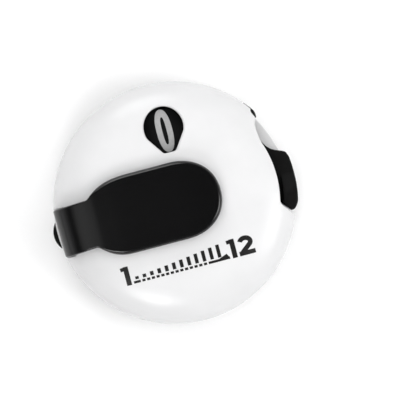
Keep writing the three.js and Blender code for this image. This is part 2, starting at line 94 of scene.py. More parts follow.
SHELL_LOW, SHELL_HIGH = cad("top_shell")
BASE_HIGH = cad("bottom_shell")[1]
WHEEL_LOW, WHEEL_HIGH = cad("number_wheel")
LEVER_HIGH = cad("count_lever")[1]
CLIP_LOW, CLIP_HIGH = cad("clip_arm")
ROOT_LOW, ROOT_HIGH = cad("clip_root")
RESET_LOW, RESET_HIGH = cad("reset_button")

CASE_R = SHELL_HIGH.y
SKIRT_Z = SHELL_LOW.z
FACE_Z = SHELL_HIGH.z
WALL = 1.1
DOME_Z = 6.4
DOME_POWER = 5
BASE_R = BASE_HIGH.x
BASE_CAVITY_R = 12.9
SPIGOT_R = 13.75
SPIGOT_Z = 4.1
FLOOR = 1.2
SLOT_ROOF = 7.1

AXIS = Vector((hinge_at("wheel_spin").x, hinge_at("wheel_spin").y))
ORIGIN = Vector((0, 0))
COUNTS = 13
PITCH = 360 / COUNTS
WHEEL_R = WHEEL_HIGH.y
WHEEL_TOP = 8.1
WHEEL_Z = 6.9
HUB_R = 2.2
HUB_BORE = 1.3
PEG_AT = 4.2                       # from the axis to the peg that meets the stop at 0
PEG_R = 0.45

WINDOW = Vector((AXIS.x, 9.25))
WINDOW_HALF = 2.45
WINDOW_RISE = 2.6
WINDOW_FOOT = 6.1

CLIP_TOP = CLIP_HIGH.z
CLIP_THICK = 1.3
CLIP_BACK = -CLIP_LOW.x
BEND_LONG = 5.5
BEND_HIGH = 3.0
NECK_LOW = ROOT_LOW.y
NECK_HIGH = ROOT_HIGH.y
PADDLE_TIP = CLIP_HIGH.x
PADDLE_TOP = CLIP_HIGH.y
PADDLE_BOTTOM = CLIP_LOW.y


# ---- outlines ---------------------------------------------------------------------------------

def vectors(*points):
    return [Vector(p) for p in points]


def polar(r, angle, centre=ORIGIN):
    turn = radians(angle)
    return Vector((centre.x + r * cos(turn), centre.y + r * sin(turn)))


def arc(r, start, end, centre=ORIGIN, steps=24):
    return [polar(r, start + (end - start) * i / steps, centre) for i in range(steps + 1)]


def bezier(a, b, c, d, steps=16):
    """Points of a cubic curve, without its first."""
    found = []
    for i in range(1, steps + 1):
        t = i / steps
        u = 1 - t
        found.append(a * u ** 3 + b * (3 * u * u * t) + c * (3 * u * t * t) + d * t ** 3)
    return found


def spaced(points, step):
    """The closed outline again, with its points evenly spaced."""
    loop = points + [points[0]]
    lengths = [0.0]
    for a, b in zip(loop, loop[1:]):
        lengths.append(lengths[-1] + (b - a).length)
    count = max(12, round(lengths[-1] / step))
    found, k = [], 0
    for i in range(count):
        at = lengths[-1] * i / count
        while lengths[k + 1] < at:
            k += 1
        part = (at - lengths[k]) / max(lengths[k + 1] - lengths[k], 1e-9)
        found.append(loop[k].lerp(loop[k + 1], part))
    return found


def softened(points, rounds):
    """The closed outline with its corners eased by averaging neighbours."""
    for _ in range(rounds):
        count = len(points)
        points = [
            (points[i - 1] + points[i] * 2 + points[(i + 1) % count]) / 4 for i in range(count)
        ]
    return points


def grown(points, distance):
    """A counter-clockwise outline moved outwards, or inwards if distance is negative."""
    count = len(points)
    found = []
    for i in range(count):
        along = (points[(i + 1) % count] - points[i - 1]).normalized()
        found.append(points[i] + Vector((along.y, -along.x)) * distance)
    return found


def outline(points, step=0.12, rounds=4):
    return softened(spaced(points, step), rounds)


def smoothstep(value, low, high):
    """0 below low, 1 above high, and an S between them."""
    part = min(1, max(0, (value - low) / (high - low)))
    return part * part * (3 - 2 * part)


# ---- mesh building ----------------------------------------------------------------------------

def add_object(name, mesh):
    obj = bpy.data.objects.new(name, mesh)
    bpy.context.scene.collection.objects.link(obj)
    return obj


def object_from(name, bm):
    bmesh.ops.recalc_face_normals(bm, faces=bm.faces)
    mesh = bpy.data.meshes.new(name)
    bm.to_mesh(mesh)
    bm.free()
    return add_object(name, mesh)


def bridged(bm, rings, closed=False):
    """Faces from ring to ring, and back to the first if closed; otherwise a cap at each end."""
    for ring, following in zip(rings, rings[1:] + (rings[:1] if closed else [])):
        for i, vert in enumerate(ring):
            j = (i + 1) % len(ring)
            bm.faces.new((vert, ring[j], following[j], following[i]))
    if not closed:
        bm.faces.new(rings[0])
        bm.faces.new(rings[-1])


def stack(name, loops):
    """A closed solid from rings of points, each with the same number."""
    bm = bmesh.new()
    bridged(bm, [[bm.verts.new(p) for p in loop] for loop in loops])
    return object_from(name, bm)


def slab(name, points, low, high, round_low=0.0, round_high=0.0, steps=4):
    """An outline raised from low to high, with rounded edges at its foot and its top."""
    loops = []
    if round_low:
        for i in range(steps):
            turn = pi / 2 * i / steps
            inset = round_low * (1 - sin(turn))
            z = low + round_low * (1 - cos(turn))
            loops.append([(p.x, p.y, z) for p in grown(points, -inset)])
    loops.append([(p.x, p.y, low + round_low) for p in points])
    loops.append([(p.x, p.y, high - round_high) for p in points])
    if round_high:
        for i in range(1, steps + 1):
            turn = pi / 2 * i / steps
            inset = round_high * (1 - cos(turn))
            z = high - round_high * (1 - sin(turn))
            loops.append([(p.x, p.y, z) for p in grown(points, -inset)])
    return stack(name, loops)


def rod(name, centre, r, low, high, edge=0.0, segments=64):
    return slab(name, arc(r, 0, 360 - 360 / segments, centre, segments - 1), low, high, edge, edge)


def lathe(name, profile, centre=ORIGIN, segments=256):
    """A ring or disc turned from a closed profile of (radius, height) points."""
    bm = bmesh.new()
    columns = []
    poles = {}
    for i in range(segments):
        turn = 2 * pi * i / segments
        column = []
        for k, (r, z) in enumerate(profile):
            if r < 1e-6:
                poles[k] = poles.get(k) or bm.verts.new((centre.x, centre.y, z))
                column.append(poles[k])
            else:
                column.append(bm.verts.new((centre.x + r * cos(turn), centre.y + r * sin(turn), z)))
        columns.append(column)
    closed = not poles
    for column, following in zip(columns, columns[1:] + columns[:1]):
        for k in range(len(profile) if closed else len(profile) - 1):
            j = (k + 1) % len(profile)
            corners = [column[k], following[k], following[j], column[j]]
            bm.faces.new(list(dict.fromkeys(corners)))
    return object_from(name, bm)


def box(name, low, high):
    points = vectors((low[0], low[1]), (high[0], low[1]), (high[0], high[1]), (low[0], high[1]))
    return slab(name, points, low[2], high[2])


def boolean(body, other, operation):
    """body cut by, or joined with, other, which is used up."""
    modifier = body.modifiers.new("boolean", "BOOLEAN")
    modifier.operation = operation
    modifier.solver = "EXACT"
    modifier.object = other
    depsgraph = bpy.context.evaluated_depsgraph_get()
    mesh = bpy.data.meshes.new_from_object(body.evaluated_get(depsgraph))
    body.modifiers.clear()
    body.data = mesh
    bpy.data.objects.remove(other)
    return body


def cut(body, *others):
    for other in others:
        boolean(body, other, "DIFFERENCE")
    return body


def joined(body, *others):
    for other in others:
        boolean(body, other, "UNION")
    return body


def sliced(bm, point, normal):
    """Adds edges where a plane meets the mesh, so that it can bend there."""
    geometry = bm.verts[:] + bm.edges[:] + bm.faces[:]
    bmesh.ops.bisect_plane(bm, geom=geometry, plane_co=point, plane_no=normal)


def finished(obj, material, body, replaced=(), sharp=32):
    """Scales a piece to metres, smooths it, and gives it its material and body."""
    mesh = obj.data
    mesh.transform(Matrix.Scale(MM, 4))
    mesh.materials.clear()
    mesh.materials.append(material)
    for face in mesh.polygons:
        face.use_smooth = True
    mesh.set_sharp_from_angle(angle=radians(sharp))
    if body:
        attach(obj, body)
    if replaced:
        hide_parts(*replaced)
    return obj


# ---- materials --------------------------------------------------------------------------------

class Nodes:
    """A Principled material whose patterns are laid out in millimetres."""

    def __init__(self, name, color, roughness, metallic=0.0, **sockets):
        self.material = bpy.data.materials.new(name)
        self.material.use_nodes = True
        self.tree = self.material.node_tree
        self.shader = self.tree.nodes["Principled BSDF"]
        self.shader.inputs["Metallic"].default_value = metallic
        for socket, value in sockets.items():
            self.shader.inputs[socket.replace("_", " ")].default_value = value
        self.color, self.roughness = color, roughness
        place = self.tree.nodes.new("ShaderNodeTexCoord")
        scale = self.tree.nodes.new("ShaderNodeMapping")
        scale.inputs["Scale"].default_value = (1 / MM, 1 / MM, 1 / MM)
        self.tree.links.new(place.outputs["Object"], scale.inputs["Vector"])
        self.place = scale.outputs["Vector"]
        self.normal = None

    def noise(self, per_mm, detail=3.0, stretch=None):
        place = self.place
        if stretch:
            mapping = self.tree.nodes.new("ShaderNodeMapping")
            mapping.inputs["Scale"].default_value = stretch
            self.tree.links.new(place, mapping.inputs["Vector"])
            place = mapping.outputs["Vector"]
        node = self.tree.nodes.new("ShaderNodeTexNoise")
        node.inputs["Scale"].default_value = per_mm
        node.inputs["Detail"].default_value = detail
        self.tree.links.new(place, node.inputs["Vector"])
        return node.outputs["Fac"]

    def spread(self, source, low, high):
        """Maps a pattern's middle range onto low to high."""
        node = self.tree.nodes.new("ShaderNodeMapRange")
        node.inputs["From Min"].default_value = 0.3
        node.inputs["From Max"].default_value = 0.7
        node.inputs["To Min"].default_value = low
        node.inputs["To Max"].default_value = high
        self.tree.links.new(source, node.inputs["Value"])
        return node.outputs["Result"]

    def tint(self, source, amount):
        """Colour that varies by plus or minus amount round the material's own."""
        ramp = self.tree.nodes.new("ShaderNodeValToRGB")
        ramp.color_ramp.elements[0].position = 0.3
        ramp.color_ramp.elements[1].position = 0.7
        for element, factor in zip(ramp.color_ramp.elements, (1 - amount, 1 + amount)):
            element.color = [min(1, c * factor) for c in self.color] + [1]
        self.tree.links.new(source, ramp.inputs["Fac"])
        self.tree.links.new(ramp.outputs["Color"], self.shader.inputs["Base Color"])

    def rough(self, source, amount):
        spread = self.spread(source, self.roughness - amount, self.roughness + amount)
        self.tree.links.new(spread, self.shader.inputs["Roughness"])

    def bump(self, source, height_mm, strength=1.0):
        node = self.tree.nodes.new("ShaderNodeBump")
        node.inputs["Distance"].default_value = height_mm * MM
        node.inputs["Strength"].default_value = strength
        self.tree.links.new(source, node.inputs["Height"])
        if self.normal:
            self.tree.links.new(self.normal, node.inputs["Normal"])
        self.normal = node.outputs["Normal"]
        self.tree.links.new(self.normal, self.shader.inputs["Normal"])


def moulded(name, color, roughness, grain_mm, grain_height, **sockets):
    """Moulded plastic: faint flow marks, a fine grain and uneven polish."""
    nodes = Nodes(name, color, roughness, **sockets)
    flow = nodes.noise(0.25, 4)
    nodes.tint(flow, 0.02)
    nodes.rough(nodes.noise(0.8, 2), roughness * 0.05)
    nodes.bump(nodes.noise(1 / grain_mm, 2), grain_height)
    return nodes.material


def metal(name, color, roughness, stretch):
    """Drawn or turned steel: fine lines along the way it was worked."""
    nodes = Nodes(name, color, roughness, metallic=1.0)
    lines = nodes.noise(6, 4, stretch)
    nodes.tint(lines, 0.08)
    nodes.rough(lines, roughness * 0.3)
    nodes.bump(lines, 0.004)
    return nodes.material


def printed(name, color, roughness):
    """Pad-printed ink: slightly uneven in tone and polish."""
    nodes = Nodes(name, color, roughness)
    nodes.tint(nodes.noise(3, 5), 0.07)
    nodes.rough(nodes.noise(8, 3), 0.06)
    nodes.bump(nodes.noise(14, 2), 0.003)
    return nodes.material


WHITE = moulded("white_gloss_plastic", (0.73, 0.73, 0.735), 0.24, 1.6, 0.0012, IOR=1.5)
BLACK_GLOSS = moulded("black_gloss_plastic", (0.0028, 0.0028, 0.003), 0.19, 1.1, 0.001, IOR=1.56)
BLACK_SATIN = moulded("black_satin_plastic", (0.0035, 0.0035, 0.0035), 0.55, 0.12, 0.004, IOR=1.24)
BLACK_MATTE = moulded("black_wheel_plastic", (0.0028, 0.0028, 0.003), 0.5, 0.15, 0.004, IOR=1.3)
ACETAL = moulded("natural_acetal", (0.72, 0.69, 0.6), 0.4, 0.2, 0.004, IOR=1.48)
RUBBER = moulded("black_rubber", (0.006, 0.006, 0.006), 0.7, 0.08, 0.006, IOR=1.35)
STEEL = metal("turned_steel", (0.56, 0.565, 0.57), 0.3, (1, 1, 12))
SPRING_STEEL = metal("spring_steel", (0.5, 0.51, 0.53), 0.22, (8, 8, 1))
DIGIT_INK = printed("grey_digit_ink", (0.4, 0.4, 0.4), 0.55)
FACE_INK = printed("black_face_ink", (0.006, 0.0052, 0.0052), 0.4)


# ---- top shell --------------------------------------------------------------------------------

def dome_z(r):
    """Height of the face at a distance from its middle."""
    part = min(1, (r / CASE_R) ** DOME_POWER)
    return DOME_Z + (FACE_Z - DOME_Z) * sqrt(1 - part)


def dome_profile(inset, steps):
    """The superellipse from the wall to the middle of the face, moved in by an inset."""
    found = []
    for i in range(steps):
        turn = pi / 2 * (i / steps)
        r = (CASE_R - inset) * cos(turn) ** (2 / DOME_POWER)
        found.append((r, DOME_Z + (FACE_Z - DOME_Z - inset) * sin(turn)))
    return found + [(0, FACE_Z - inset)]


def lipped_cutter(name, points, low, lip):
    """A cutter that leaves a rounded lip of the given size where it comes out of the face."""
    def loop(offset, depth):
        return [(p.x, p.y, dome_z(min(p.length, CASE_R - 0.02)) - depth)
                for p in grown(points, offset)]

    loops = [[(p.x, p.y, low) for p in points]]
    for turn in (0, 20, 38, 54, 68):
        loops.append(loop(lip * (1 - cos(radians(turn))), lip * (1 - sin(radians(turn)))))
    loops.append(loop(lip * 1.2, -lip * 0.5))
    loops.append([(p.x, p.y, FACE_Z + 2) for p in grown(points, lip * 1.2)])
    return stack(name, loops)


def window_outline():
    """A round top whose straight sides close in towards a narrow foot."""
    foot_half = 0.75
    top = [WINDOW + Vector((p.x * WINDOW_HALF, p.y * WINDOW_RISE))
           for p in arc(1, -20, 200, steps=60)]
    foot = vectors((WINDOW.x - foot_half, WINDOW_FOOT), (WINDOW.x + foot_half, WINDOW_FOOT))
    return outline(top + foot, 0.08, 9)


NOTCH_R = 13.0
NOTCH_LOWER = [(19, -11.3), (13.8, -4.95), (12.6, -3.4)]
NOTCH_UPPER = [(12.05, 5.15), (11.98, 6.2), (12.02, 6.95), (12.3, 7.62), (12.08, 8.05),
               (11.87, 8.55), (12.02, 8.85), (16, 11.8)]


def notch_outline():
    """The lever's notch in the shoulder, open towards +X."""
    points = vectors(*NOTCH_LOWER) + arc(NOTCH_R, -13, 21, steps=30) + vectors(*NOTCH_UPPER)
    return outline(points, 0.1, 5)[::-1]


def slot_outline():
    """The slot in the skirt that the lever runs in; it goes on under the shoulder."""
    end = 41.5
    points = vectors(*NOTCH_LOWER) + arc(NOTCH_R - 0.1, -12, end, steps=30) + [polar(19, end)]
    return points[::-1]


def reset_cutter(name):
    """Opening in the side for the reset button."""
    margin = 0.15
    inner_x = -12
    top = RESET_LOW.z + 3.85
    low = (-CASE_R - 1, RESET_LOW.y - margin, SKIRT_Z - 0.5)
    high = (inner_x, RESET_HIGH.y + margin, top)
    return box(name, low, high)


def skirt_profile():
    """Outer and inner section of the cap, with a small round at the skirt's foot."""
    edge = 0.18
    inner = CASE_R - WALL
    foot = [(inner, SKIRT_Z + edge), (inner + edge * 0.3, SKIRT_Z + edge * 0.3),
            (inner + edge, SKIRT_Z), (CASE_R - edge, SKIRT_Z),
            (CASE_R - edge * 0.3, SKIRT_Z + edge * 0.3), (CASE_R, SKIRT_Z + edge)]
    return dome_profile(WALL, 24)[::-1] + foot + dome_profile(0, 48)


def top_shell():
    """The cap, with the wheel's stop and the clip's keeper inside it."""
    shell = lathe("top_shell_skin", skirt_profile())
    stop = polar(PEG_AT, 270 - PITCH / 2, AXIS)
    zero_stop = rod("zero_stop", stop, PEG_R, WHEEL_TOP + 0.3, FACE_Z - WALL / 2, 0.1, 32)
    keeper = box("clip_keeper", (-13, -2.4, 7.15), (-11.9, 2.4, 8.6))
    joined(shell, zero_stop, keeper)
    low, high = NECK_LOW - 0.1, NECK_HIGH + 0.1
    outer_x, inner_x = -CASE_R - 2, -13.3
    clip_slot = vectors((outer_x, low), (inner_x, low), (inner_x, high), (outer_x, high))
    cut(shell,
        lipped_cutter("window_cutter", window_outline(), WHEEL_TOP + 0.2, 0.28),
        lipped_cutter("notch_cutter", notch_outline(), 0.0, 0.12),
        slab("slot_cutter", slot_outline(), 0.0, SLOT_ROOF),
        lipped_cutter("clip_cutter", outline(clip_slot, 0.08, 3), 5.8, 0.05),
        reset_cutter("reset_cutter"))
    finished(shell, WHITE, "case", ["top_shell"])


# ---- bottom shell -----------------------------------------------------------------------------

def base_profile():
    """Section of the base, from the middle of its back to the middle of its floor."""
    back_r = 12.4
    corner = 2.6
    step = SKIRT_Z - 0.1
    outside = [(back_r + (BASE_R - back_r) * sin(radians(a)), corner * (1 - cos(radians(a))))
               for a in range(0, 91, 9)]
    fillet = [(BASE_CAVITY_R - 0.4 * (1 - cos(radians(a))), FLOOR + 0.4 * (1 - sin(radians(a))))
              for a in range(0, 91, 18)]
    lip = 0.12
    return ([(0, 0), (back_r - 0.6, 0)] + outside
            + [(BASE_R, step - lip), (BASE_R - lip, step), (SPIGOT_R, step),
               (SPIGOT_R, SPIGOT_Z - lip), (SPIGOT_R - lip, SPIGOT_Z),
               (BASE_CAVITY_R + lip, SPIGOT_Z), (BASE_CAVITY_R, SPIGOT_Z - lip)]
            + fillet + [(0, FLOOR)])


def bottom_shell():
    """The base, with the bosses, posts and guides that hold the works."""
    shell = lathe("bottom_shell_skin", base_profile())
    ledge_end = 41
    ledge = arc(BASE_R, -17.5, ledge_end, steps=48)
    ledge += arc(BASE_CAVITY_R + 0.1, ledge_end, -14.8, steps=48)
    hold = hinge_at("hold_pawl_swing").xy
    foot = FLOOR - 0.2
    pawl_top = 6.6
    lifter_from, lifter_to = -97, -55
    lifter = []
    for i in range(29):
        angle = lifter_from + i * 1.5
        rise = 0.29 * max(0, angle + 89.7) / 31
        lifter.append(polar(9.47 + rise, angle, AXIS))
    lifter += arc(10.6, lifter_to, lifter_from, AXIS, 28)
    joined(shell,
           slab("ledge", outline(ledge, 0.2, 2), SKIRT_Z - 0.5, SPIGOT_Z, 0, 0.1),
           rod("axle_boss", AXIS, 2.1, foot, 1.9, 0.1),
           rod("hold_boss", hold, 1.2, foot, LEVER_TOP, 0.1),
           box("cheek_high", (-13.1, 1.3, foot), (-11.5, 3.2, 5.9)),
           box("cheek_low", (-13.1, -3.2, foot), (-11.5, -1.9, 5.9)),
           box("reset_seat", (-7, -1.4, foot), (-6.3, 0.8, 3.8)),
           slab("lifter", outline(lifter[::-1], 0.15, 3)[::-1], foot, pawl_top),
           rod("lever_post", polar(9.5, -125, AXIS), 0.5, foot, 3.9, 0.08, 32),
           rod("hold_post", Vector((-5.2, 9.2)), 0.5, foot, pawl_top, 0.08, 32))
    cut(shell,
        rod("hold_bore", hold, 0.6, 2, 7),
        rod("anchor_bore", polar(6.2, 200, AXIS), 0.45, FLOOR - 0.7, FLOOR + 1),
        rod("screw_bore", AXIS, 0.75, -1, 3),
        rod("screw_recess", AXIS, 1.7, -1, 0.9),
        reset_cutter("reset_cutter"))
    finished(shell, WHITE, "case", ["bottom_shell"])


# ---- number wheel -----------------------------------------------------------------------------

def ribbon(bm, path, width, low, high, closed=False):
    """A raised stroke of even width along a path."""
    count = len(path)
    rows = []
    for i, point in enumerate(path):
        before = path[i - 1] if closed or i else path[0]
        after = path[(i + 1) % count] if closed or i < count - 1 else path[-1]
        along = (after - before).normalized()
        side = Vector((-along.y, along.x)) * (width / 2)
        corners = [(point + side, low), (point - side, low), (point - side, high),
                   (point + side, high)]
        rows.append([bm.verts.new((p.x, p.y, z)) for p, z in corners])
    bridged(bm, rows, closed)


def oval(cx, cy, half_w, half_h, start=0, end=360, steps=40, power=2.0):
    """Part of a superellipse, counter-clockwise from start to end."""
    found = []
    for i in range(steps + 1):
        turn = radians(start + (end - start) * i / steps)
        c, s = cos(turn), sin(turn)
        x = abs(c) ** (2 / power) * (1 if c >= 0 else -1)
        y = abs(s) ** (2 / power) * (1 if s >= 0 else -1)
        found.append(Vector((cx + half_w * x, cy + half_h * y)))
    return found


def digit_strokes(digit):
    """Centre lines of one figure in a box two wide and two high, with (0, 0) at its middle."""
    strokes = {
        0: [(oval(0, 0, 1, 1, steps=48)[:-1], True)],
        1: [(vectors((-0.55, 0.62), (0.1, 1), (0.1, -1)), False)],
        2: [(oval(0, 0.42, 0.95, 0.58, 170, -35, 24) + vectors((-0.95, -1), (1, -1)), False)],
        3: [(oval(-0.05, 0.48, 0.9, 0.52, 160, -90, 24), False),
            (oval(-0.05, -0.5, 1, 0.5, 90, -160, 24), False)],
        4: [(vectors((0.55, -1), (0.55, 1), (-1, -0.45), (1.05, -0.45)), False)],
        5: [(vectors((0.85, 1), (-0.75, 1), (-0.85, 0.1))
             + oval(-0.05, -0.38, 1, 0.62, 130, -160, 28), False)],
        6: [(vectors((0.6, 1), (-0.7, 0.1)) + oval(0, -0.4, 0.95, 0.6, 160, 500, 36), False)],
        7: [(vectors((-0.95, 1), (0.95, 1), (-0.3, -1)), False)],
        8: [(oval(0, 0.5, 0.8, 0.5)[:-1], True), (oval(0, -0.5, 1, 0.52)[:-1], True)],
        9: [(vectors((-0.6, -1), (0.7, -0.1)) + oval(0, 0.4, 0.95, 0.6, -20, 320, 36), False)],
    }
    return strokes[digit]


def dense(path, step=0.12):
    """The open path with points added along its long stretches."""
    found = [path[0]]
    for a, b in zip(path, path[1:]):
        parts = max(1, round((b - a).length / step))
        found += [a.lerp(b, k / parts) for k in range(1, parts + 1)]
    return found


def number(bm, text, centre, turn, half_w, half_h, width, low, high, gap=0.35):
    """Figures side by side, turned by an angle about centre."""
    digits = [int(c) for c in text]
    pitch = 2 * half_w + width + gap
    for i, digit in enumerate(digits):
        shift = (i - (len(digits) - 1) / 2) * pitch
        for path, closed in digit_strokes(digit):
            placed = []
            for p in path:
                x = shift + p.x * half_w
                y = p.y * half_h
                placed.append(Vector((centre.x + x * cos(turn) - y * sin(turn),
                                      centre.y + x * sin(turn) + y * cos(turn))))
            ribbon(bm, placed, width, low, high, closed)


def plate_between(bm, outer, inner, low, high):
    """A flat ring between two outlines with the same number of points."""
    rows = []
    for a, b in zip(outer, inner):
        corners = [(a, low), (b, low), (b, high), (a, high)]
        rows.append([bm.verts.new((p.x, p.y, z)) for p, z in corners])
    bridged(bm, rows, closed=True)


def number_wheel():
    """The wheel, its stop peg, and a figure for each count."""
    chamfer = 0.5
    bead = 0.06
    profile = [
        (HUB_BORE, WHEEL_LOW.z), (HUB_R - bead, WHEEL_LOW.z), (HUB_R, WHEEL_LOW.z + bead),
        (HUB_R, WHEEL_Z), (WHEEL_R - bead, WHEEL_Z), (WHEEL_R, WHEEL_Z + bead),
        (WHEEL_R, WHEEL_TOP - chamfer - bead), (WHEEL_R - bead, WHEEL_TOP - chamfer + bead),
        (WHEEL_R - chamfer + bead, WHEEL_TOP - bead), (WHEEL_R - chamfer - bead, WHEEL_TOP),
        (HUB_BORE, WHEEL_TOP)]
    wheel = lathe("number_wheel_disc", profile, AXIS, 192)
    peg = polar(PEG_AT, 270, AXIS)
    joined(wheel, rod("zero_peg", peg, PEG_R, WHEEL_TOP - 0.2, WHEEL_HIGH.z, 0.08))
    finished(wheel, BLACK_MATTE, "wheel", ["number_wheel"])

    ink = 0.02
    bm = bmesh.new()
    low, high = WHEEL_TOP + 0.001, WHEEL_TOP + ink
    zero_outer = oval(AXIS.x, 8.87, 0.99, 2.67, power=2.3, steps=64)[:-1]
    zero_inner = oval(AXIS.x, 8.85, 0.27, 1.72, power=2.6, steps=64)[:-1]
    plate_between(bm, zero_outer, zero_inner, low, high)
    for value in range(1, COUNTS):
        angle = 90 - value * PITCH
        turn = radians(angle - 90)
        if value > 9:
            number(bm, str(value), polar(9.35, angle, AXIS), turn, 0.52, 1.5, 0.5, low, high, 0.2)
        else:
            number(bm, str(value), polar(8.85, angle, AXIS), turn, 0.68, 2.35, 0.58, low, high)
    digits = object_from("wheel_digits", bm)
    finished(digits, DIGIT_INK, "wheel")


# ---- thumb lever ------------------------------------------------------------------------------

PAD_TOP = 6.5
LEVER_Z = 4.4
LEVER_TOP = 5.4
PAD_INNER_R = 11.6
RIDGE_INNER_R = 12.35
PAD_OUTER_R = LEVER_HIGH.x


def pad_outline():
    """The thumb pad seen from above, with its S-shaped upper edge and its short lower one."""
    lower = vectors((14.45, -4.25), (14.2, -4.5), (13.75, -4.6), (12.7, -3.2))
    upper = vectors((11.75, 5), (12.3, 4.6), (12.69, 3.9), (13.2, 3.4), (13.72, 3.13),
                    (14.6, 2.79), (14.88, 2.6))
    points = lower + arc(PAD_INNER_R, -14, 24, AXIS, 24) + upper + arc(PAD_OUTER_R, 7.5, -14)
    return outline(points, 0.1, 3)[::-1]


def ridge_height(point):
    """Top of the thumb ridge, which falls away in an S towards the pad's upper end."""
    start, end = -2.9, 0.8
    buried = PAD_TOP - 0.15
    return LEVER_HIGH.z + (buried - LEVER_HIGH.z) * smoothstep(point[1], start, end)


def thumb_ridge():
    """The pad's raised part: its top follows ridge_height, and all its edges are rounded."""
    points = []
    for p in pad_outline():
        away = p - AXIS
        if away.length < RIDGE_INNER_R:
            p = AXIS + away * (RIDGE_INNER_R / away.length)
        points.append(p)
    points = softened(points, 3)
    edge = 0.3
    loops = [[(p.x, p.y, LEVER_TOP) for p in points]]
    for i in range(7):
        turn = pi / 2 * i / 6
        ring = grown(points, -edge * (1 - cos(turn)))
        loops.append([(p.x, p.y, ridge_height(p) - edge * (1 - sin(turn))) for p in ring])
    ridge = stack("thumb_ridge", loops)
    bm = bmesh.new()
    bm.from_mesh(ridge.data)
    for k in range(-44, 39):
        sliced(bm, (0, k / 10 + 0.05, 0), (0, 1, 0))
    bm.to_mesh(ridge.data)
    bm.free()
    return ridge


def count_lever():
    """The thumb pad, its arm and hub, and the ear that carries the drive pawl."""
    pivot = hinge_at("drive_pawl_swing").xy
    peg = polar(8.3, -62, AXIS)
    arm_from, arm_to = 3.4, 12.75

    def bar(name, a, b, half):
        heading = degrees(atan2(b.y - a.y, b.x - a.x))
        points = arc(half, heading - 90, heading + 90, b, 16)
        points += arc(half, heading + 90, heading + 270, a, 16)
        return slab(name, points, LEVER_Z, LEVER_TOP, 0.1, 0.1)

    lever = slab("count_lever_body", pad_outline(), LEVER_Z, PAD_TOP, 0.15, 0.25)
    arm = [polar(arm_from, -32, AXIS), polar(arm_to, -13.5, AXIS),
           polar(arm_to, 13, AXIS), polar(arm_from, 32, AXIS)]
    joined(lever,
           thumb_ridge(),
           slab("arm", outline(arm, 0.2, 3), LEVER_Z, LEVER_TOP, 0.1, 0.1),
           rod("lever_hub", AXIS, 4.1, LEVER_Z, LEVER_TOP, 0.1),
           bar("ear", polar(3.6, -72, AXIS), pivot, 1.25),
           bar("ear_tip", pivot, peg, 0.7),
           rod("peg", peg, 0.4, 2.4, LEVER_Z + 0.3, 0.06, 32))
    cut(lever,
        rod("hub_bore", AXIS, HUB_R + 0.3, 0, 9),
        rod("pin_bore", pivot, 0.6, LEVER_Z + 0.3, 9, 0, 32))
    finished(lever, BLACK_SATIN, "lever", ["count_lever"], sharp=40)


# ---- reset button -----------------------------------------------------------------------------

def reset_button():
    """A crowned face that stands out of the case, a stem, and a pusher for the hold pawl."""
    middle = (RESET_LOW.y + RESET_HIGH.y) / 2
    half = (RESET_HIGH.y - RESET_LOW.y) / 2
    outer, back = -RESET_LOW.x, -13.6
    low, high = 3.3, 5.5
    crown = 0.6
    face_r = (half * half + crown * crown) / (2 * crown)
    span = degrees(asin(half / face_r))
    points = arc(face_r, 180 - span, 180 + span, Vector((face_r - outer, middle)), 24)
    points += vectors((back, middle - half), (back, middle + half))
    button = slab("reset_button_body", outline(points, 0.1, 3), low, high, 0.25, 0.25)
    joined(button,
           box("stem", (-13.8, middle - 1.3, 3.6), (-10.2, middle + 1.3, 5.2)),
           box("pusher", (-10.8, middle - 1.1, RESET_LOW.z),
               (RESET_HIGH.x, middle + 1.1, RESET_HIGH.z)))
    finished(button, BLACK_SATIN, "reset", ["reset_button"])


def reset_spring():
    """Coil spring along X between the base's seat and the button."""
    wire = 0.14
    low, high = cad("reset_spring")
    middle = (low + high) / 2
    coil_r = (high.y - low.y) / 2 - wire
    start, end = low.x + wire, high.x - wire
    turns, per_turn, sides = 4, 32, 10
    flat = 0.08                      # share of the wire in each closed end turn
    bm = bmesh.new()
    rows = []
    for i in range(turns * per_turn + 1):
        part = i / (turns * per_turn)
        turn = 2 * pi * turns * part
        closing = smoothstep(part, -flat / 2, flat) * flat / 2
        along = min(1, closing + max(0, min(1, (part - flat) / (1 - 2 * flat))))
        out = Vector((0, cos(turn), sin(turn)))
        place = Vector((start + (end - start) * along, middle.y, middle.z)) + out * coil_r
        rows.append([bm.verts.new(place + out * (wire * cos(2 * pi * k / sides))
                                  + Vector((wire * sin(2 * pi * k / sides), 0, 0)))
                     for k in range(sides)])
    bridged(bm, rows)
    spring = object_from("reset_spring_coil", bm)
    finished(spring, SPRING_STEEL, "case", ["reset_spring"])
    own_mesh(spring)


# ---- lever stop -------------------------------------------------------------------------------

def stop_bumper():
    """Rubber block at the end of the lever's slot, with a thin black strip along the rim that
    stands in for the shade at the slot's end.
    """
    low, high = cad("lever_stop_bumper")
    block = [polar(14.98, 37), polar(14.98, 41.1), polar(14, 41.1), polar(14, 39.9)]
    tip = [(14.9, 34.4), (14.82, 33.5), (14.7, 32.6), (14.57, 31.9), (14.48, 31.7)]
    # These points outline a black strip where the slot's end only lies in shade: painted shade,
    # made as a dark part.
    shade_strip = arc(14.48, 31.9, 38, steps=12) + arc(14.93, 38, 34.8, steps=8)
    shade_strip += [polar(r, angle) for r, angle in tip]
    bumper = slab("lever_stop_bumper_block", outline(block, 0.1, 2), low.z, high.z, 0.05, 0.05)
    strip = outline(shade_strip[::-1], 0.05, 2)[::-1]
    joined(bumper, slab("shade_strip", strip, high.z - 0.25, high.z, 0.03, 0.06))
    finished(bumper, RUBBER, "case", ["lever_stop_bumper"])


# ---- clip -------------------------------------------------------------------------------------

FOOT_Z = ROOT_LOW.z + 0.5          # middle of the foot that the shells hold
FOOT_X = ROOT_HIGH.x
FOOT_BEND = 0.8
FOOT_LENGTH = 2.2
FOOT_THIN = 0.77                   # the foot's thickness as a share of the clip's


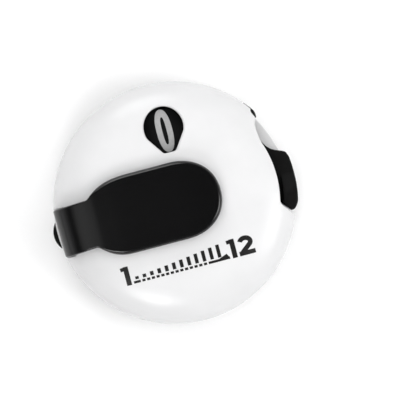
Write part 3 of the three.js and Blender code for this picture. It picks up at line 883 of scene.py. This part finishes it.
def clip_outline():
    """The clip seen from above, with its tip to +X: a straight neck that opens into a paddle."""
    tip_r = (PADDLE_TOP - PADDLE_BOTTOM) / 2
    tip_y = (PADDLE_TOP + PADDLE_BOTTOM) / 2
    left = -30
    lower_neck = Vector((-10.3, -2.96))
    upper_neck = Vector((-10.2, 2.97))
    points = [Vector((left, NECK_LOW)), Vector((-14, NECK_LOW)), lower_neck]
    points += bezier(lower_neck, Vector((-9.4, -3.7)), Vector((-8.6, PADDLE_BOTTOM)),
                     Vector((-6.2, PADDLE_BOTTOM)))
    points += oval(PADDLE_TIP - tip_r * 1.12, tip_y, tip_r * 1.12, tip_r, -90, 90, 60, 2.15)
    upper_paddle = Vector((-4.7, PADDLE_TOP))
    points += [upper_paddle]
    points += bezier(upper_paddle, Vector((-7.9, PADDLE_TOP)), Vector((-9.2, 4)), upper_neck)
    points += [Vector((-14.2, NECK_HIGH)), Vector((left, NECK_HIGH))]
    return outline(points, 0.12, 2)


BEND = Vector((-CLIP_BACK + BEND_LONG, CLIP_TOP - BEND_HIGH))
MIDDLE_LONG = BEND_LONG - CLIP_THICK / 2
MIDDLE_HIGH = BEND_HIGH - CLIP_THICK / 2
LEG_X = BEND.x - MIDDLE_LONG


def bend_table(steps=400):
    """Lengths along the bend's middle line, from the flat paddle to the leg."""
    lengths = [0.0]
    last = Vector((0, MIDDLE_HIGH))
    for i in range(1, steps + 1):
        turn = pi / 2 * i / steps
        place = Vector((-MIDDLE_LONG * sin(turn), MIDDLE_HIGH * cos(turn)))
        lengths.append(lengths[-1] + (place - last).length)
        last = place
    return lengths


BEND_LENGTHS = bend_table()


def strip_frame(x):
    """Follows the clip's middle line: the flat paddle, the bend, the leg, then the foot.

    x is measured along the flat strip. Returns the place on the middle line and the direction
    in which the strip's outer side looks, both in the XZ plane."""
    if x >= BEND.x:
        return Vector((x, CLIP_TOP - CLIP_THICK / 2)), Vector((0, 1))
    along = BEND.x - x
    if along < BEND_LENGTHS[-1]:
        k = bisect(BEND_LENGTHS, along) - 1
        part = (along - BEND_LENGTHS[k]) / (BEND_LENGTHS[k + 1] - BEND_LENGTHS[k])
        turn = pi / 2 * (k + part) / (len(BEND_LENGTHS) - 1)
        out = Vector((-sin(turn) / MIDDLE_LONG, cos(turn) / MIDDLE_HIGH)).normalized()
        return BEND + Vector((-MIDDLE_LONG * sin(turn), MIDDLE_HIGH * cos(turn))), out
    along -= BEND_LENGTHS[-1]
    leg = BEND.y - (FOOT_Z + FOOT_BEND)
    if along < leg:
        return Vector((LEG_X, BEND.y - along)), Vector((-1, 0))
    along -= leg
    corner = Vector((LEG_X + FOOT_BEND, FOOT_Z + FOOT_BEND))
    quarter = FOOT_BEND * pi / 2
    if along < quarter:
        turn = pi + along / FOOT_BEND
        out = Vector((cos(turn), sin(turn)))
        return corner + out * FOOT_BEND, out
    along -= quarter
    return Vector((corner.x + along, FOOT_Z)), Vector((0, -1))


def strip_end():
    """x, along the flat strip, where the foot ends."""
    leg = BEND.y - FOOT_Z - FOOT_BEND
    foot = FOOT_X - (LEG_X + FOOT_BEND)
    return BEND.x - BEND_LENGTHS[-1] - leg - FOOT_BEND * pi / 2 - foot


def clip():
    """One sprung moulding: made flat with its rounded rim, then bent over the side of the case."""
    end = strip_end()
    points = [p if p.x > end else Vector((end, p.y)) for p in clip_outline()]
    points = outline(points, 0.12, 1)
    under, rim, neck_rim = 0.15, 0.55, 0.22

    def ring(inset, z):
        return [(p.x, p.y, z) for p in grown(points, -inset)]

    loops = [ring(under * (1 - cos(radians(a))), under * (1 - sin(radians(a))))
             for a in (90, 60, 30, 0)]
    inner = grown(points, -1)
    for i in range(9):
        turn = pi / 2 * i / 8
        loop = []
        for p, q in zip(points, inner):
            r = neck_rim + (rim - neck_rim) * smoothstep(p.x, -10.2, -8.2)
            at = p + (q - p) * (r * (1 - cos(turn)))
            loop.append((at.x, at.y, CLIP_THICK - r * (1 - sin(turn))))
        loops.append(loop)
    body = stack("clip_body", loops)

    bm = bmesh.new()
    bm.from_mesh(body.data)
    cuts = [end + 0.15 * i for i in range(1, int((-7 - end) / 0.15))]
    for x in cuts + list(range(-6, 6)):
        sliced(bm, (x, 0, 0), (1, 0, 0))
    for vert in bm.verts:
        x, y, z = vert.co
        place, out = strip_frame(x)
        offset = z - CLIP_THICK / 2
        if x < end + FOOT_LENGTH:
            offset *= FOOT_THIN
        at = place + out * offset
        curve = CLIP_BACK - sqrt(CLIP_BACK ** 2 - y ** 2)
        vert.co = (at.x + curve * smoothstep(-at.x, 11.2, 14.6), y, at.y)
    bm.to_mesh(body.data)
    bm.free()
    rib = vectors((3.9, -3.1), (4.7, -2.9), (4.7, 3.1), (3.9, 3.3))
    under_z = CLIP_TOP - CLIP_THICK
    joined(body, slab("grip_rib", outline(rib, 0.1, 4), under_z - 0.4, under_z + 0.3, 0.15, 0))
    finished(body, BLACK_GLOSS, None, ["clip_arm", "clip_root"], sharp=50)
    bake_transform(body)


# ---- print on the face ------------------------------------------------------------------------

def drape(obj, low, high):
    """Lays a flat print onto the domed face."""
    for vert in obj.data.vertices:
        r = hypot(vert.co.x, vert.co.y)
        vert.co.z = dome_z(r) + (low if vert.co.z < 0.5 else high)


def face_print():
    """A count scale: 1, a row of marks over a dashed line that ends in a wedge, and 12."""
    bm = bmesh.new()
    foot, head = -8.45, -6.1
    stroke = 0.62

    def path(points, width):
        ribbon(bm, dense(vectors(*points)), width, 0, 1)

    for x in (-7.85, 5.55):
        path([(x, foot), (x, head)], stroke)
        path([(x - 0.68, head - 0.3), (x + 0.05, head - 0.24)], 0.46)
    two = Vector((7.15, (foot + head) / 2))
    curl = [two + Vector((p.x, p.y + 0.42)) for p in oval(0, 0, 0.66, 0.5, 165, -38, 24)]
    path([tuple(p) for p in curl] + [(two.x - 0.72, foot + 0.28)], 0.58)
    path([(two.x - 1.0, foot + 0.28), (two.x + 1.02, foot + 0.28)], 0.56)

    line, thick = -8.24, 0.31
    path([(-7.25, line), (-6.4, line)], thick)
    pitch = 0.6
    for i in range(14):
        x = -6.2 + i * pitch
        path([(x, line), (x + 0.4, line)], thick)
    path([(2.2, line), (4.9, line)], thick)
    wedge = vectors((3.4, line + 0.1), (4.95, line - 0.1), (4.6, line + 0.55))
    bridged(bm, [[bm.verts.new((p.x, p.y, z)) for p in wedge] for z in (0, 1)])

    marks = 12
    first, last = -6.75, 3.7
    for i in range(marks):
        x = first + (last - first) * i / (marks - 1)
        height = 0.35 + 1.25 * (i / (marks - 1)) ** 1.2
        path([(x, line + 0.32), (x, line + 0.32 + height)], 0.44)
    scale = object_from("face_count_scale", bm)
    drape(scale, -0.004, 0.012)
    finished(scale, FACE_INK, "case")


# ---- pieces that keep their CAD mesh ----------------------------------------------------------

def smooth_by_angle():
    """Node group that shades smooth, with sharp edges past an angle."""
    group = bpy.data.node_groups.new("smooth_by_angle", "GeometryNodeTree")
    group.interface.new_socket("Geometry", in_out="INPUT", socket_type="NodeSocketGeometry")
    group.interface.new_socket("Geometry", in_out="OUTPUT", socket_type="NodeSocketGeometry")
    nodes, links = group.nodes, group.links
    start, end = nodes.new("NodeGroupInput"), nodes.new("NodeGroupOutput")
    faces = nodes.new("GeometryNodeSetShadeSmooth")
    edges = nodes.new("GeometryNodeSetShadeSmooth")
    edges.domain = "EDGE"
    edges.inputs["Shade Smooth"].default_value = False
    angle = nodes.new("GeometryNodeInputMeshEdgeAngle")
    compare = nodes.new("FunctionNodeCompare")
    compare.inputs[1].default_value = radians(35)
    links.new(start.outputs[0], faces.inputs["Geometry"])
    links.new(faces.outputs[0], edges.inputs["Geometry"])
    links.new(angle.outputs["Unsigned Angle"], compare.inputs[0])
    links.new(compare.outputs[0], edges.inputs["Selection"])
    links.new(edges.outputs[0], end.inputs[0])
    return group


SMOOTH = smooth_by_angle()
KEPT = {
    "axle_post": (STEEL, 0.06), "centre_screw": (STEEL, 0.06), "wheel_retainer": (STEEL, 0.02),
    "thrust_washer": (STEEL, 0.02), "spring_anchor_pin": (STEEL, 0.04),
    "drive_pawl_pin": (STEEL, 0.05), "hold_pawl_pin": (STEEL, 0.05),
    "ratchet_wheel": (ACETAL, 0.06), "drive_pawl": (ACETAL, 0.08), "hold_pawl": (ACETAL, 0.08),
    "hold_pawl_leaf": (SPRING_STEEL, 0.02),
    "wheel_return_spring": (SPRING_STEEL, 0.02), "lever_return_spring": (SPRING_STEEL, 0),
    "drive_pawl_spring": (SPRING_STEEL, 0), "hold_pawl_spring": (SPRING_STEEL, 0),
}


def finish_kept_nodes():
    """Welds each kept mesh, eases its edges, or smooths it if it is a wire, and paints it."""
    for node, (material, edge) in KEPT.items():
        obj = frame["nodes"][node]
        obj.data.materials.clear()
        obj.data.materials.append(material)
        weld = obj.modifiers.new("weld", "WELD")
        weld.merge_threshold = 1e-6
        if edge:
            bevel = obj.modifiers.new("edges", "BEVEL")
            bevel.width = edge * MM
            bevel.segments = 2
            bevel.limit_method = "ANGLE"
            bevel.angle_limit = radians(35)
        else:
            wire = obj.modifiers.new("round", "SUBSURF")
            wire.levels = wire.render_levels = 1
        smooth = obj.modifiers.new("smooth", "NODES")
        smooth.node_group = SMOOTH


# ---- floor, light and camera ------------------------------------------------------------------

def floor():
    """A pale sheet well past the camera's view, that turns up softly at its far edges."""
    size, cells = 1600, 40
    bm = bmesh.new()
    grid = {}
    for i in range(cells + 1):
        for j in range(cells + 1):
            x, y = size * (i / cells - 0.5), size * (j / cells - 0.5)
            lift = max(0, hypot(x, y) - 450) / 350
            grid[i, j] = bm.verts.new((x, y, -0.02 + 60 * lift ** 2))
    for i in range(cells):
        for j in range(cells):
            bm.faces.new((grid[i, j], grid[i + 1, j], grid[i + 1, j + 1], grid[i, j + 1]))
    sheet = object_from("studio_floor", bm)
    sheet.data.transform(Matrix.Scale(MM, 4))
    for face in sheet.data.polygons:
        face.use_smooth = True
    nodes = Nodes("floor_paper", (0.93, 0.93, 0.93), 0.85)
    nodes.tint(nodes.noise(0.02, 3), 0.01)
    nodes.rough(nodes.noise(0.1, 3), 0.03)
    nodes.bump(nodes.noise(2, 2), 0.01)
    sheet.data.materials.append(nodes.material)


def soft_light(name, azimuth, elevation, distance, width, watts, reflected=True):
    """A round soft box that looks at the object, from angles about the case in degrees."""
    data = bpy.data.lights.new(name, "AREA")
    data.shape = "DISK"
    data.size = width * MM
    data.energy = watts
    lamp = bpy.data.objects.new(name, data)
    around, up = radians(azimuth), radians(elevation)
    toward = Vector((cos(around) * cos(up), sin(around) * cos(up), sin(up)))
    lamp.location = toward * distance * MM
    lamp.rotation_mode = "QUATERNION"
    lamp.rotation_quaternion = toward.to_track_quat("Z", "Y")
    lamp.visible_glossy = reflected
    bpy.context.scene.collection.objects.link(lamp)


def world():
    """Pale surroundings, darker overhead but for a soft glow that the clip's bend mirrors."""
    scene_world = bpy.data.worlds.new("light_tent")
    scene_world.use_nodes = True
    bpy.context.scene.world = scene_world
    tree = scene_world.node_tree
    background = tree.nodes["Background"]
    place = tree.nodes.new("ShaderNodeTexCoord")
    split = tree.nodes.new("ShaderNodeSeparateXYZ")
    ramp = tree.nodes.new("ShaderNodeValToRGB")
    ramp.color_ramp.interpolation = "EASE"
    ramp.color_ramp.elements[0].position = 0.15
    ramp.color_ramp.elements[0].color = (0.95, 0.95, 0.96, 1)
    ramp.color_ramp.elements[1].position = 0.6
    ramp.color_ramp.elements[1].color = (0.05, 0.05, 0.05, 1)
    tree.links.new(place.outputs["Generated"], split.inputs[0])
    tree.links.new(split.outputs["Z"], ramp.inputs["Fac"])
    toward = tree.nodes.new("ShaderNodeVectorMath")
    toward.operation = "DOT_PRODUCT"
    toward.inputs[1].default_value = (-0.43, 0.0, 0.903)
    glow = tree.nodes.new("ShaderNodeMapRange")
    glow.interpolation_type = "SMOOTHSTEP"
    glow.inputs["From Min"].default_value = 0.91
    glow.inputs["From Max"].default_value = 1.0
    glow.inputs["To Max"].default_value = 0.72
    both = tree.nodes.new("ShaderNodeVectorMath")
    tree.links.new(place.outputs["Generated"], toward.inputs[0])
    tree.links.new(toward.outputs["Value"], glow.inputs["Value"])
    tree.links.new(ramp.outputs["Color"], both.inputs[0])
    tree.links.new(glow.outputs["Result"], both.inputs[1])
    tree.links.new(both.outputs["Vector"], background.inputs["Color"])
    background.inputs["Strength"].default_value = 0.75


def camera():
    """Looks straight down on the face, turned so that the clip rises to the right."""
    roll = radians(-14.7)
    distance = 400.0
    frame_width = 51.36              # what the picture spans at the height of the rim
    right_of_centre, above_centre = 4.128, -0.674
    rim = 7.0
    data = bpy.data.cameras.new("camera")
    data.sensor_width = 36.0
    data.lens = data.sensor_width * distance / frame_width
    cam = bpy.data.objects.new("camera", data)
    x = right_of_centre * cos(roll) - above_centre * sin(roll)
    y = right_of_centre * sin(roll) + above_centre * cos(roll)
    cam.location = (x * MM, y * MM, (distance + rim) * MM)
    cam.rotation_euler = (0, 0, roll)
    bpy.context.scene.collection.objects.link(cam)
    bpy.context.scene.camera = cam


bpy.context.scene.view_settings.view_transform = "Standard"
camera()
world()
floor()
soft_light("overhead_light", 60, 84, 700, 900, 4.4, reflected=False)
soft_light("right_light", -27, 42, 450, 260, 0.6)
soft_light("lower_left_light", -118, 48, 450, 160, 0.4)
soft_light("window_side_light", 95, 35, 450, 240, 0.42)

top_shell()
bottom_shell()
number_wheel()
count_lever()
reset_button()
reset_spring()
stop_bumper()
clip()
face_print()
finish_kept_nodes()
